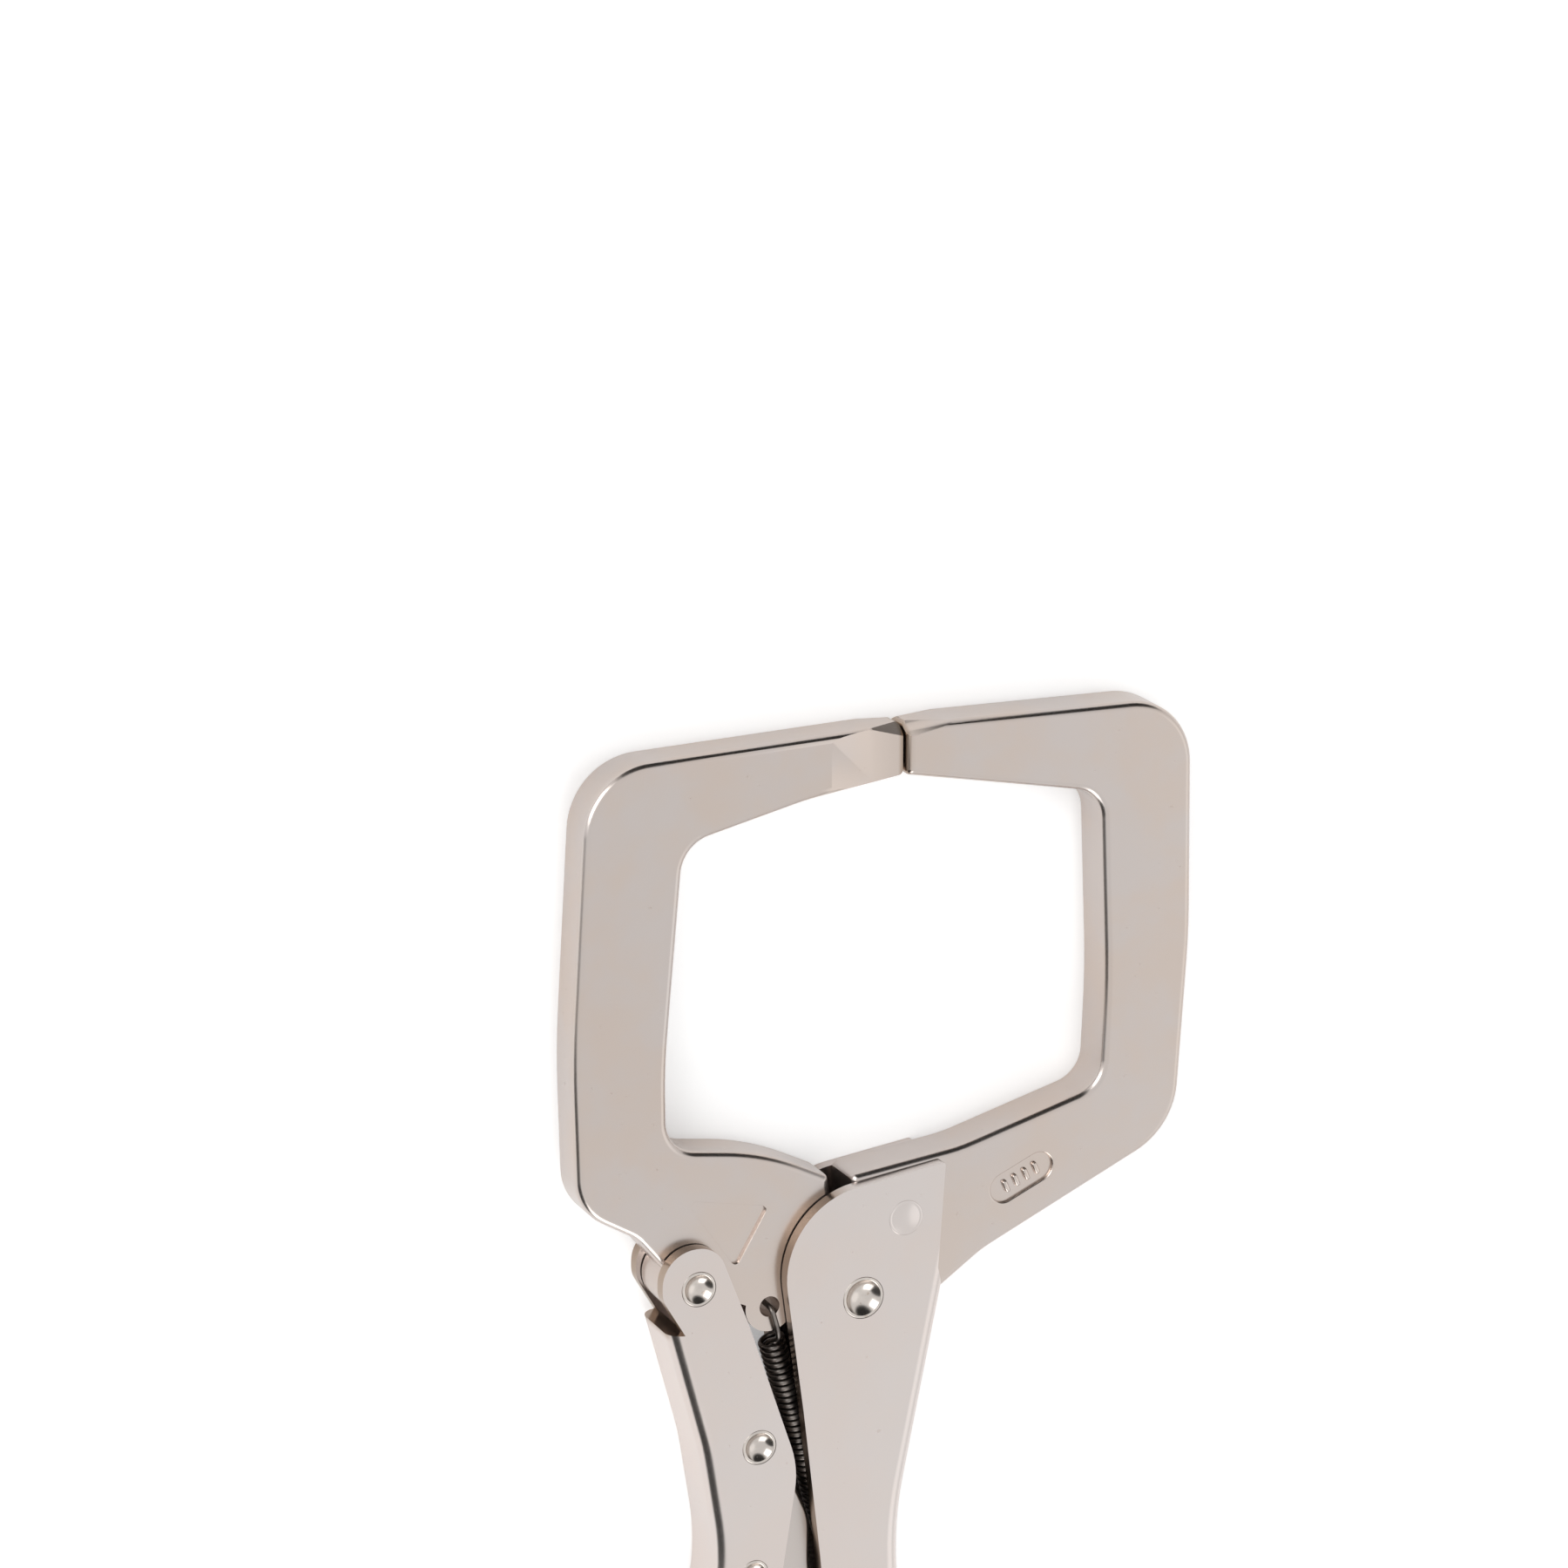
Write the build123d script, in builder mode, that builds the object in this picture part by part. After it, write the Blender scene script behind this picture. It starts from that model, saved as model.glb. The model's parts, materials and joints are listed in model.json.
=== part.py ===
"""Locking C-clamp pliers, 280 mm long, lying on one side.

The two folded handles, the two forged arms and the toggle are separate pieces.
+X runs from the moving arm to the fixed arm, +Y from the handles to the tips,
and +Z along the pivots.  The origin is on the main pivot's axis, where the
fixed handle's lower side meets the bench.  All sizes are in millimetres.
"""

from build123d import *
import math
import os

# ---------------------------------------------------------------- driving sizes
WIDTH = 12.8  # outside width of both folded handles
SHEET = 2.1  # sheet steel of both handles
GAP = WIDTH - 2 * SHEET  # inside width of both handles
FIXED_ARM = GAP  # thickness of the fixed arm, which fills its handle
MOVING_ARM = 8.0  # thickness of the moving arm, free between the sheets
EDGE = 1.2  # rounding of the forged arms' edges
RECESS = 0.6  # depth of the shallow recesses in the arms
BEND = 2.7  # outside radius of the folded corners
RUNNING = 0.06  # radial clearance of a pivot

# Pivots and points of the mechanism, seen along the pivots
MAIN = (0.0, 0.0)
HANDLE_PIVOT = (-28.1, 5.9)
LINK_PIVOT = (-17.9, -22.3)
LEVER_PIVOT = (-18.8, -43.8)
LINK_END = (0.8, -80.0)
SPRING_HOOK = (-15.1, 0.1)
SPRING_ANCHOR = (1.7, -60.0)
JAW_RIVET = (7.3, 12.3)

MAIN_R = 3.5  # shank of the main rivet
RIVET_R = 2.9  # shank of the other large rivets
LEVER_RIVET_R = 2.4  # shank of the release lever's rivet
ANCHOR_R = 1.25  # spring anchor pin
HOOK_HOLE_R = 1.7
EYE_CLEAR = 0.7  # gap between the moving arm's heel and the fixed tang
HEEL_R = 10.6  # heel of the moving arm about the main pivot

# Tips of the arms
TIP_TOP = 92.0
TIP_BOTTOM = 83.9
TIP_X = 8.0  # where the tips meet
TIP_GAP = 0.3

EAR_BOTTOM = -1.5  # where the moving handle's folded side begins

# Toggle link and release lever
LINK_THICK = 7.0
LINK_EYE_R = 5.2
LINK_END_R = 3.8
LEVER_WIDTH = 8.0
LEVER_SHEET = 1.5

# Adjusting screw, measured along its axis away from the link's end
SCREW_TILT = 2.0  # degrees between the screw and -Y, towards +X
THREAD_R = 4.95
BORE_R = 5.0
TIP_R = 3.3
TIP_START = 7.0
GROOVE_START = 8.5
GROOVE_R = 2.7
CLIP_THICK = 0.8
WASHER_START = 9.5
WASHER_THICK = 2.2
SHOULDER = 11.9
BARREL_START = 39.0
BARREL_ROUND = 50.0
BARREL_END = 80.0
BARREL_CORNER = 5.4  # corner radius where the folded sheet meets the round barrel
HEAD_START = 91.0
HEAD_END = 107.0
HEAD_R = 6.3
HEX_ACROSS = 5.0
HEX_DEPTH = 6.0

MID = Plane.XY.offset(WIDTH / 2)
TILT = math.radians(SCREW_TILT)
SCREW_AXIS = Vector(math.sin(TILT), -math.cos(TILT), 0)


def screw_plane(distance):
    """A plane square to the screw, this far along it from the link's end."""
    start = Vector(LINK_END[0], LINK_END[1], WIDTH / 2)
    return Plane(origin=start + SCREW_AXIS * distance, x_dir=(0, 0, 1), z_dir=SCREW_AXIS)


def screw_point(distance, side):
    """A point beside the screw's axis: side is positive towards +X."""
    x = LINK_END[0] + distance * math.sin(TILT) + side * math.cos(TILT)
    y = LINK_END[1] - distance * math.cos(TILT) + side * math.sin(TILT)
    return (x, y)


def outline(*corners):
    """Fill a closed outline whose corners are (x, y, radius)."""
    points = [(x, y) for x, y, _ in corners]
    with BuildLine() as edge:
        FilletPolyline(*points, radius=[r for _, _, r in corners], close=True)
    make_face(edge.edges())


def flat_edges(part, wanted):
    """Edges of the part's two side faces whose middle passes the test."""
    sides = part.faces().filter_by(Axis.Z).sort_by(Axis.Z)
    edges = sides[0].edges() + sides[-1].edges()
    return [e for e in edges if wanted(e @ 0.5)]


def outer_side_of_handle(point):
    """True on the folded side of the moving handle, below its ears."""
    return point.Y < -2.0 and point.X < -19.0 + 0.22 * min(0.0, point.Y + 60.0)


def finger_side_of_lever(point):
    """True along the side of the release lever that the finger presses."""
    return point.Y < -52.0 and point.X > -22.6 + 0.16 * min(0.0, point.Y + 60.0)


def outside_handle(point):
    """True where the fixed arm is clear of its handle's sheets."""
    return point.X > 15.0 or point.Y > 24.0


# ---------------------------------------------------------------- forged arms
with BuildPart() as fixed_jaw:
    with BuildSketch(MID):
        outline(
            (TIP_X + TIP_GAP / 2, TIP_BOTTOM, 0.8),
            (41.9, 77.2, 5.5),
            (43.2, 46.0, 150.0),
            (42.5, 28.6, 5.5),
            (18.0, 21.9, 30.0),
            (-1.0, 19.8, 1.0),
            (-1.0, 1.0, 0.0),
            (5.0, -1.2, 0.0),
            (14.9, -1.2, 0.0),
            (22.0, 3.7, 18.0),
            (56.2, 19.3, 12.5),
            (58.2, 52.0, 120.0),
            (57.6, 91.1, 11.0),
            (TIP_X + TIP_GAP / 2, TIP_TOP, 0.8),
        )
        Circle(HEEL_R + EYE_CLEAR, mode=Mode.SUBTRACT)
    extrude(amount=FIXED_ARM / 2, both=True)
    fillet(flat_edges(fixed_jaw.part, outside_handle), EDGE)
    # the tip's outer corners are ground off, more and more towards the tip
    for side in (1, -1):
        start = Vector(18.5, 91.75, WIDTH / 2 + side * FIXED_ARM / 2)
        low = Vector(TIP_X, TIP_TOP - 2.0, WIDTH / 2 + side * FIXED_ARM / 2)
        deep = Vector(TIP_X, TIP_TOP, WIDTH / 2 + side * (FIXED_ARM / 2 - 3.2))
        normal = (low - start).cross(deep - start).normalized() * side
        split(bisect_by=Plane(origin=start, z_dir=normal), keep=Keep.TOP)
    with BuildSketch(MID):
        with Locations(JAW_RIVET):
            Circle(RIVET_R)
    extrude(amount=WIDTH, both=True, mode=Mode.SUBTRACT)
    # a plain pill-shaped recess with four raised bars
    with BuildSketch(MID.offset(FIXED_ARM / 2 - RECESS)):
        with Locations(Location((28.6, 15.1), 24.0)):
            SlotOverall(11.4, 4.8)
            with GridLocations(1.9, 1.0, 4, 1):
                Rectangle(0.9, 2.2, mode=Mode.SUBTRACT)
    extrude(amount=2.0, mode=Mode.SUBTRACT)

with BuildPart() as moving_jaw:
    with BuildSketch(MID):
        outline(
            (TIP_X - TIP_GAP / 2, TIP_TOP, 0.8),
            (-44.9, 90.6, 11.5),
            (-47.7, 45.0, 150.0),
            (-47.1, 20.4, 9.0),
            (-37.4, 14.6, 7.0),
            (-32.4, 8.4, 1.0),
            (HANDLE_PIVOT[0], HANDLE_PIVOT[1], 0.0),
            (-21.0, 1.8, 1.5),
            (-15.1, -1.0, 0.0),
            (0.0, -2.0, 0.0),
            (-3.2, 9.5, 0.0),
            (-4.9, 20.2, 0.9),
            (-16.0, 25.8, 40.0),
            (-32.1, 28.2, 5.5),
            (-32.2, 42.0, 100.0),
            (-29.0, 77.0, 6.0),
            (-8.4, 81.7, 40.0),
            (TIP_X - TIP_GAP / 2, TIP_BOTTOM, 0.8),
        )
        Circle(HEEL_R)
        with Locations(SPRING_HOOK):
            Circle(4.1)
        with Locations(HANDLE_PIVOT):
            Circle(5.3)
    extrude(amount=MOVING_ARM / 2, both=True)
    fillet(flat_edges(moving_jaw.part, lambda p: p.Y > 21.0 or p.X < -33.5), EDGE)
    # each side of the nose is ground back: a slope and then a thinner flat
    with BuildSketch(Plane.XZ.offset(-TIP_BOTTOM + 8)):
        for side in (1, -1):
            face_z = WIDTH / 2 + side * MOVING_ARM / 2
            ground_z = face_z - side * 0.8
            with BuildLine():
                Polyline(
                    (-4.6, face_z),
                    (2.8, ground_z),
                    (12.0, ground_z),
                    (12.0, face_z + side),
                    (-4.6, face_z + side),
                    close=True,
                )
            make_face()
    extrude(amount=-24.0, mode=Mode.SUBTRACT)
    for side in (1, -1):
        start = Vector(-1.0, 91.9, WIDTH / 2 + side * MOVING_ARM / 2)
        low = Vector(TIP_X, TIP_TOP - 2.0, WIDTH / 2 + side * (MOVING_ARM / 2 - 0.8))
        deep = Vector(TIP_X, TIP_TOP, WIDTH / 2 + side * (FIXED_ARM / 2 - 3.2))
        normal = (deep - start).cross(low - start).normalized() * side
        split(bisect_by=Plane(origin=start, z_dir=normal), keep=Keep.TOP)
    # a shallow three-cornered recess beside the handle's ear, on both sides
    for side in (1, -1):
        with BuildSketch(MID.offset(side * (MOVING_ARM / 2 - RECESS))):
            outline((-29.3, 19.8, 0.8), (-15.2, 16.9, 0.8), (-20.8, 7.4, 0.8))
        extrude(amount=side * 2.0, mode=Mode.SUBTRACT)
    with BuildSketch(MID):
        Circle(MAIN_R + RUNNING)
        with Locations(HANDLE_PIVOT):
            Circle(RIVET_R + RUNNING)
        with Locations(SPRING_HOOK):
            Circle(HOOK_HOLE_R)
    extrude(amount=WIDTH, both=True, mode=Mode.SUBTRACT)

# ---------------------------------------------------------------- folded handles
SHOULDER_SECTION = BARREL_START - 9.0
with BuildPart() as fixed_handle:
    with BuildSketch(MID):
        outline(
            (14.2, 20.6, 0.5),
            (-14.9, 16.9, 14.0),
            (-10.3, -17.5, 60.0),
            (-7.0, -46.0, 80.0),
            (*screw_point(SHOULDER_SECTION, -7.6), 0.0),
            (*screw_point(SHOULDER_SECTION, 7.6), 0.0),
            (8.6, -72.0, 150.0),
            (6.5, -40.0, 60.0),
            (14.3, -1.2, 0.0),
            (13.0, 3.0, 0.0),
        )
    extrude(amount=WIDTH / 2, both=True)
    fillet(flat_edges(fixed_handle.part, lambda p: p.X > 5.5 and p.Y < -2.0), BEND)
    # the sheet closes round into the threaded barrel
    with BuildSketch(screw_plane(SHOULDER_SECTION - 2.0)):
        RectangleRounded(WIDTH - 0.16, 14.9, BEND)
    with BuildSketch(screw_plane(BARREL_ROUND)):
        RectangleRounded(WIDTH - 0.2, WIDTH - 0.2, BARREL_CORNER)
    loft()
    with BuildSketch(screw_plane(BARREL_ROUND - 1.0)):
        Circle(WIDTH / 2)
    extrude(amount=BARREL_END - BARREL_ROUND + 1.0)
    # the space between the sheets, open towards the other handle
    with BuildSketch(MID):
        outline(
            (30.0, 40.0, 0.0),
            (-40.0, 40.0, 0.0),
            (-40.0, screw_point(BARREL_START, 0)[1], 0.0),
            (*screw_point(BARREL_START, 5.4), 0.0),
            (6.4, -72.3, 148.0),
            (4.4, -40.0, 58.0),
            (12.1, -1.2, 0.0),
            (30.0, -1.2, 0.0),
        )
    extrude(amount=GAP / 2, both=True, mode=Mode.SUBTRACT)
    with BuildSketch(screw_plane(GROOVE_START)):
        Circle(BORE_R)
    extrude(amount=BARREL_END, mode=Mode.SUBTRACT)
    with BuildSketch(MID):
        Circle(MAIN_R)
        with Locations(JAW_RIVET):
            Circle(RIVET_R)
        with Locations(SPRING_ANCHOR):
            Circle(ANCHOR_R)
    extrude(amount=WIDTH, both=True, mode=Mode.SUBTRACT)

with BuildPart() as moving_handle:
    with BuildSketch(MID):
        outline(
            (-32.9, EAR_BOTTOM, 0.0),
            (-19.6, EAR_BOTTOM, 0.0),
            (-11.2, -26.8, 16.0),
            (-14.2, -46.0, 60.0),
            (-22.6, -85.0, 150.0),
            (-29.6, -122.0, 120.0),
            (-30.4, -157.5, 0.0),
            (-42.3, -160.5, 5.5),
            (-41.4, -124.0, 120.0),
            (-33.6, -84.0, 150.0),
            (-24.3, -42.0, 40.0),
            (-27.4, -22.0, 50.0),
        )
    extrude(amount=WIDTH / 2, both=True)
    fillet(flat_edges(moving_handle.part, outer_side_of_handle), BEND)
    # above the fold the two sides go on as flat ears
    with BuildSketch(MID):
        outline(
            (-34.2, 12.6, 5.6),
            (-25.0, 12.6, 4.8),
            (-19.6, EAR_BOTTOM, 0.0),
            (-18.9, EAR_BOTTOM - 2.5, 0.0),
            (-29.4, EAR_BOTTOM - 2.5, 0.0),
            (-30.4, EAR_BOTTOM, 0.0),
            (-34.2, 5.0, 4.0),
        )
    extrude(amount=WIDTH / 2, both=True)
    # the space between the sheets, open at the ears and towards the other handle
    with BuildSketch(MID):
        outline(
            (-5.0, 30.0, 0.0),
            (-60.0, 30.0, 0.0),
            (-60.0, EAR_BOTTOM, 0.0),
            (-29.9, EAR_BOTTOM, 0.0),
            (-25.3, -22.5, 48.0),
            (-22.2, -41.8, 42.0),
            (-31.5, -84.5, 148.0),
            (-39.3, -124.2, 118.0),
            (-40.2, -170.0, 0.0),
            (-5.0, -170.0, 0.0),
        )
    extrude(amount=GAP / 2, both=True, mode=Mode.SUBTRACT)
    with BuildSketch(MID):
        with Locations(HANDLE_PIVOT, LINK_PIVOT):
            Circle(RIVET_R)
        with Locations(LEVER_PIVOT):
            Circle(LEVER_RIVET_R)
    extrude(amount=WIDTH, both=True, mode=Mode.SUBTRACT)

# ---------------------------------------------------------------- toggle
with BuildPart() as toggle_link:
    with BuildSketch(MID):
        outline(
            (-13.4, -24.5, 3.0),
            (-7.9, -37.0, 9.0),
            (-8.0, -46.5, 20.0),
            (-3.4, -62.5, 30.0),
            (LINK_END[0] + 3.6, LINK_END[1] + 1.0, 0.0),
            (LINK_END[0] - 3.6, LINK_END[1] + 1.0, 0.0),
            (-9.6, -60.5, 25.0),
            (-13.7, -45.5, 20.0),
            (-15.3, -35.0, 10.0),
            (-21.8, -25.5, 3.0),
        )
    extrude(amount=LINK_THICK / 2, both=True)
    fillet(flat_edges(toggle_link.part, lambda p: p.Y > -76.0), 0.6)
    with BuildSketch(MID):
        with Locations(LINK_PIVOT):
            Circle(LINK_EYE_R)
        with Locations(LINK_END):
            Circle(LINK_END_R)
    extrude(amount=LINK_THICK / 2, both=True)
    with BuildSketch(MID):
        with Locations(LINK_PIVOT):
            Circle(RIVET_R + RUNNING)
    extrude(amount=WIDTH, both=True, mode=Mode.SUBTRACT)

washer_thick = (GAP - LINK_THICK) / 2 - 0.1
with BuildPart() as link_washers:
    for side in (1, -1):
        with BuildSketch(MID.offset(side * (LINK_THICK / 2 + 0.05))):
            with Locations(LINK_PIVOT):
                Circle(LINK_EYE_R - 0.3)
                Circle(RIVET_R + RUNNING, mode=Mode.SUBTRACT)
        extrude(amount=side * washer_thick)

with BuildPart() as release_lever:
    with BuildSketch(MID):
        outline(
            (-16.3, -35.2, 1.2),
            (-14.8, -45.0, 6.0),
            (-16.2, -56.0, 30.0),
            (-20.6, -78.0, 80.0),
            (-26.4, -108.0, 40.0),
            (-24.8, -129.0, 25.0),
            (-19.6, -145.0, 1.5),
            (-22.2, -147.2, 1.5),
            (-29.2, -131.0, 25.0),
            (-31.4, -108.0, 40.0),
            (-26.2, -80.0, 80.0),
            (-22.0, -56.0, 20.0),
            (-22.5, -46.0, 4.0),
            (-21.6, -41.0, 2.0),
            (-19.0, -35.2, 1.2),
        )
    extrude(amount=LEVER_WIDTH / 2, both=True)
    fillet(flat_edges(release_lever.part, finger_side_of_lever), 1.4)
    # folded from sheet: its two cheeks straddle the rivet's spring
    with BuildSketch(MID):
        outline(
            (-5.0, -30.0, 0.0),
            (-40.0, -30.0, 0.0),
            (-40.0, -150.0, 0.0),
            (-23.4, -150.0, 0.0),
            (-27.1, -129.6, 23.5),
            (-27.9, -108.0, 38.0),
            (-22.1, -78.3, 78.0),
            (-17.9, -57.0, 28.0),
            (-17.4, -51.0, 0.0),
            (-5.0, -51.0, 0.0),
        )
    extrude(amount=LEVER_WIDTH / 2 - LEVER_SHEET, both=True, mode=Mode.SUBTRACT)
    with BuildSketch(MID):
        with Locations(LEVER_PIVOT):
            Circle(LEVER_RIVET_R + RUNNING)
    extrude(amount=WIDTH, both=True, mode=Mode.SUBTRACT)

with BuildPart() as release_lever_spring:
    with BuildSketch(MID):
        with Locations(LEVER_PIVOT):
            Circle(LEVER_RIVET_R + 1.0)
            Circle(LEVER_RIVET_R + 0.2, mode=Mode.SUBTRACT)
    extrude(amount=1.8, both=True)

# ---------------------------------------------------------------- adjusting screw
with BuildPart() as adjusting_screw:
    with BuildSketch(screw_plane(TIP_START)):
        Circle(TIP_R)
    extrude(amount=SHOULDER - TIP_START)
    with BuildSketch(screw_plane(SHOULDER)):
        Circle(THREAD_R)
    extrude(amount=HEAD_START - SHOULDER)
    with BuildSketch(screw_plane(HEAD_START)):
        Circle(HEAD_R)
    extrude(amount=HEAD_END - HEAD_START)
    ends = adjusting_screw.faces().filter_by(GeomType.PLANE).sort_by(Axis.Y)
    chamfer(ends[0].edges() + ends[-1].edges(), 0.8)
    with BuildSketch(screw_plane(GROOVE_START)):
        Circle(TIP_R + 1)
        Circle(GROOVE_R, mode=Mode.SUBTRACT)
    extrude(amount=CLIP_THICK, mode=Mode.SUBTRACT)
    with BuildSketch(screw_plane(HEAD_END)):
        RegularPolygon(HEX_ACROSS / 2, 6, major_radius=False)
    extrude(amount=-HEX_DEPTH, mode=Mode.SUBTRACT)

with BuildPart() as screw_retaining_clip:
    with BuildSketch(screw_plane(GROOVE_START + 0.05)):
        Circle(TIP_R + 0.9)
        Circle(GROOVE_R + 0.05, mode=Mode.SUBTRACT)
        with Locations((0.0, -TIP_R)):
            Rectangle(2 * GROOVE_R - 1.2, 2 * TIP_R, mode=Mode.SUBTRACT)
    extrude(amount=CLIP_THICK - 0.1)

with BuildPart() as screw_stop_washer:
    with BuildSketch(screw_plane(WASHER_START)):
        RectangleRounded(GAP - 0.5, 9.0, 1.0)
        Circle(TIP_R + RUNNING, mode=Mode.SUBTRACT)
    extrude(amount=WASHER_THICK)

# ---------------------------------------------------------------- return spring
SPRING_R = 2.3
SPRING_BORE = 1.4
hook = Vector(*SPRING_HOOK, WIDTH / 2)
anchor = Vector(*SPRING_ANCHOR, WIDTH / 2)
SPRING_AXIS = (anchor - hook).normalized()
SPRING_LENGTH = (anchor - hook).length
with BuildPart() as return_spring:
    top = Plane(origin=hook + SPRING_AXIS * 6.0, x_dir=(0, 0, 1), z_dir=SPRING_AXIS)
    with BuildSketch(top):
        Circle(SPRING_R)
        Circle(SPRING_BORE, mode=Mode.SUBTRACT)
    extrude(amount=SPRING_LENGTH - 6.0 - 4.0)

with BuildPart() as spring_anchor_pin:
    with BuildSketch():
        with Locations(SPRING_ANCHOR):
            Circle(ANCHOR_R)
    extrude(amount=WIDTH)
    chamfer(spring_anchor_pin.edges().filter_by(GeomType.CIRCLE), 0.2)


# ---------------------------------------------------------------- rivets
def rivet(centre, radius, dish_r=0.0, dish_depth=0.0):
    """A flush rivet through both sheets, with a round dish in each end, or with none."""
    with BuildPart() as body:
        with BuildSketch():
            with Locations(centre):
                Circle(radius)
        extrude(amount=WIDTH)
        chamfer(body.edges().filter_by(GeomType.CIRCLE), 0.2)
        if dish_r:
            ball = (dish_r**2 + dish_depth**2) / (2 * dish_depth)
            high = Vector(*centre, WIDTH - dish_depth + ball)
            low = Vector(*centre, dish_depth - ball)
            with Locations(high, low):
                Sphere(ball, mode=Mode.SUBTRACT)
    return body


main_pivot_rivet = rivet(MAIN, MAIN_R, 3.0, 1.5)
jaw_rivet = rivet(JAW_RIVET, RIVET_R)
handle_pivot_rivet = rivet(HANDLE_PIVOT, RIVET_R, 2.4, 1.2)
link_pivot_rivet = rivet(LINK_PIVOT, RIVET_R, 2.4, 1.2)
release_lever_rivet = rivet(LEVER_PIVOT, LEVER_RIVET_R, 1.9, 0.95)

# ---------------------------------------------------------------- hand over
PARTS = {
    "fixed_jaw": fixed_jaw,
    "moving_jaw": moving_jaw,
    "fixed_handle": fixed_handle,
    "moving_handle": moving_handle,
    "toggle_link": toggle_link,
    "link_washers": link_washers,
    "release_lever": release_lever,
    "release_lever_spring": release_lever_spring,
    "adjusting_screw": adjusting_screw,
    "screw_retaining_clip": screw_retaining_clip,
    "screw_stop_washer": screw_stop_washer,
    "return_spring": return_spring,
    "spring_anchor_pin": spring_anchor_pin,
    "main_pivot_rivet": main_pivot_rivet,
    "jaw_rivet": jaw_rivet,
    "handle_pivot_rivet": handle_pivot_rivet,
    "link_pivot_rivet": link_pivot_rivet,
    "release_lever_rivet": release_lever_rivet,
}

os.makedirs("parts", exist_ok=True)
for name, piece in PARTS.items():
    piece.part.label = name
    export_step(piece.part, f"parts/{name}.step")
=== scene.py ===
# %% [markdown]
# # Locking C-clamp pliers
# The tool is two forged arms that meet at their tips, two handles folded from sheet steel,
# and a toggle between the handles.  The engineering model already fixes every size, so this
# file dresses it: it rounds the sheet's edges, cuts the screw's thread, winds the springs,
# and gives each metal the finish that its making leaves on it.

# %% Load the frame
import json
import math
import bmesh
import bpy
import numpy as np
from mathutils import Matrix, Vector


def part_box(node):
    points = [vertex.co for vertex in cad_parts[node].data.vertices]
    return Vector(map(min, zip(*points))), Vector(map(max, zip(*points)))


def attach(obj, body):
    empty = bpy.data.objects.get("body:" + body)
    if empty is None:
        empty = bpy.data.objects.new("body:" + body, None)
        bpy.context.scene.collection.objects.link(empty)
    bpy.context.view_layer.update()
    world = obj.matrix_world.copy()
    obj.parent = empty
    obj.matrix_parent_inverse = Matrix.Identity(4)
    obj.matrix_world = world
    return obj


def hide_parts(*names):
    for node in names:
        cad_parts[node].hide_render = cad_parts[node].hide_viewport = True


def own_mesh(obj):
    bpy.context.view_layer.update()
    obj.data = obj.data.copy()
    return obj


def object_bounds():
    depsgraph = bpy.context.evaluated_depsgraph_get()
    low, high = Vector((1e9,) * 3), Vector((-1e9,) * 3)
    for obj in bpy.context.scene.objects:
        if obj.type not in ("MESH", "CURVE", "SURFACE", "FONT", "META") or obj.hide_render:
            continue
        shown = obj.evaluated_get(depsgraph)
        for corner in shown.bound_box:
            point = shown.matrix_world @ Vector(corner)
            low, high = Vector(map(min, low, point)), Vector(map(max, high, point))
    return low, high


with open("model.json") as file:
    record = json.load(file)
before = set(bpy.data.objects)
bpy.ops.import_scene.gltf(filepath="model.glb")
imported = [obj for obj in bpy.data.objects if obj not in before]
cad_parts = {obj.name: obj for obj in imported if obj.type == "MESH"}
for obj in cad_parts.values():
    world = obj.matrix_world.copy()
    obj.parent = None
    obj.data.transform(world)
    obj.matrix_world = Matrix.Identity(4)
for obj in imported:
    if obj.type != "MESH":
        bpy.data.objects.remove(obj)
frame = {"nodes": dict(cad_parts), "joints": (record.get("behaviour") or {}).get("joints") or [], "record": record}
cad_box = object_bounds()
NODES = frame["nodes"]
BODIES = frame["record"]["behaviour"]["bodies"]
BODY_OF = {node: body for body, nodes in BODIES.items() for node in nodes}
JOINTS = {joint["name"]: joint for joint in frame["joints"]}
MM = 0.001
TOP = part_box("fixed_handle")[1].z
MIDDLE = TOP / 2 / MM  # millimetres, like every other size given as a bare number
print("the tool measures", [round(size / MM, 1) for size in cad_box[1] - cad_box[0]], "mm")

# %% [markdown]
# ## The view
# The tool lies on its side and the camera looks down on it from the arms' left through a
# long lens, which keeps both arms the same size.  A camera can be aimed with a constraint or
# by its angles.  Here its own three directions are worked out and written as its matrix,
# because then the picture's right can be kept level with the tool's side.

# %% Camera
SWING, LIFT = math.radians(24.0), math.radians(16.2)
DISTANCE = 855 * MM
LENS, SENSOR = 124.83, 36.0
AIM_RIGHT, AIM_UP = -12.5 * MM, 80.8 * MM


def place_camera():
    """Stand the camera off from the main pivot: first swung about +Y, then lifted towards +Y."""
    away = Vector((-math.sin(SWING) * math.cos(LIFT), math.sin(LIFT), math.cos(SWING) * math.cos(LIFT)))
    right = Vector((math.cos(SWING), 0.0, math.sin(SWING)))
    up = away.cross(right)
    place = Vector((0.0, 0.0, TOP)) + right * AIM_RIGHT + up * AIM_UP + away * DISTANCE
    camera = bpy.data.objects.new("camera", bpy.data.cameras.new("camera"))
    camera.data.lens, camera.data.sensor_width = LENS, SENSOR
    camera.data.clip_start, camera.data.clip_end = 0.05, 50.0
    bpy.context.scene.collection.objects.link(camera)
    camera.matrix_world = Matrix(
        (
            (right.x, up.x, away.x, place.x),
            (right.y, up.y, away.y, place.y),
            (right.z, up.z, away.z, place.z),
            (0.0, 0.0, 0.0, 1.0),
        )
    )
    bpy.context.scene.camera = camera
    return camera


camera = place_camera()
print("camera at", [round(x, 3) for x in camera.matrix_world.translation])

# %% [markdown]
# ## Shader maths
# A node tree is hard to read as code.  A small class that wraps one output lets a formula be
# written as a formula, and one method adds any other node.


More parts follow.
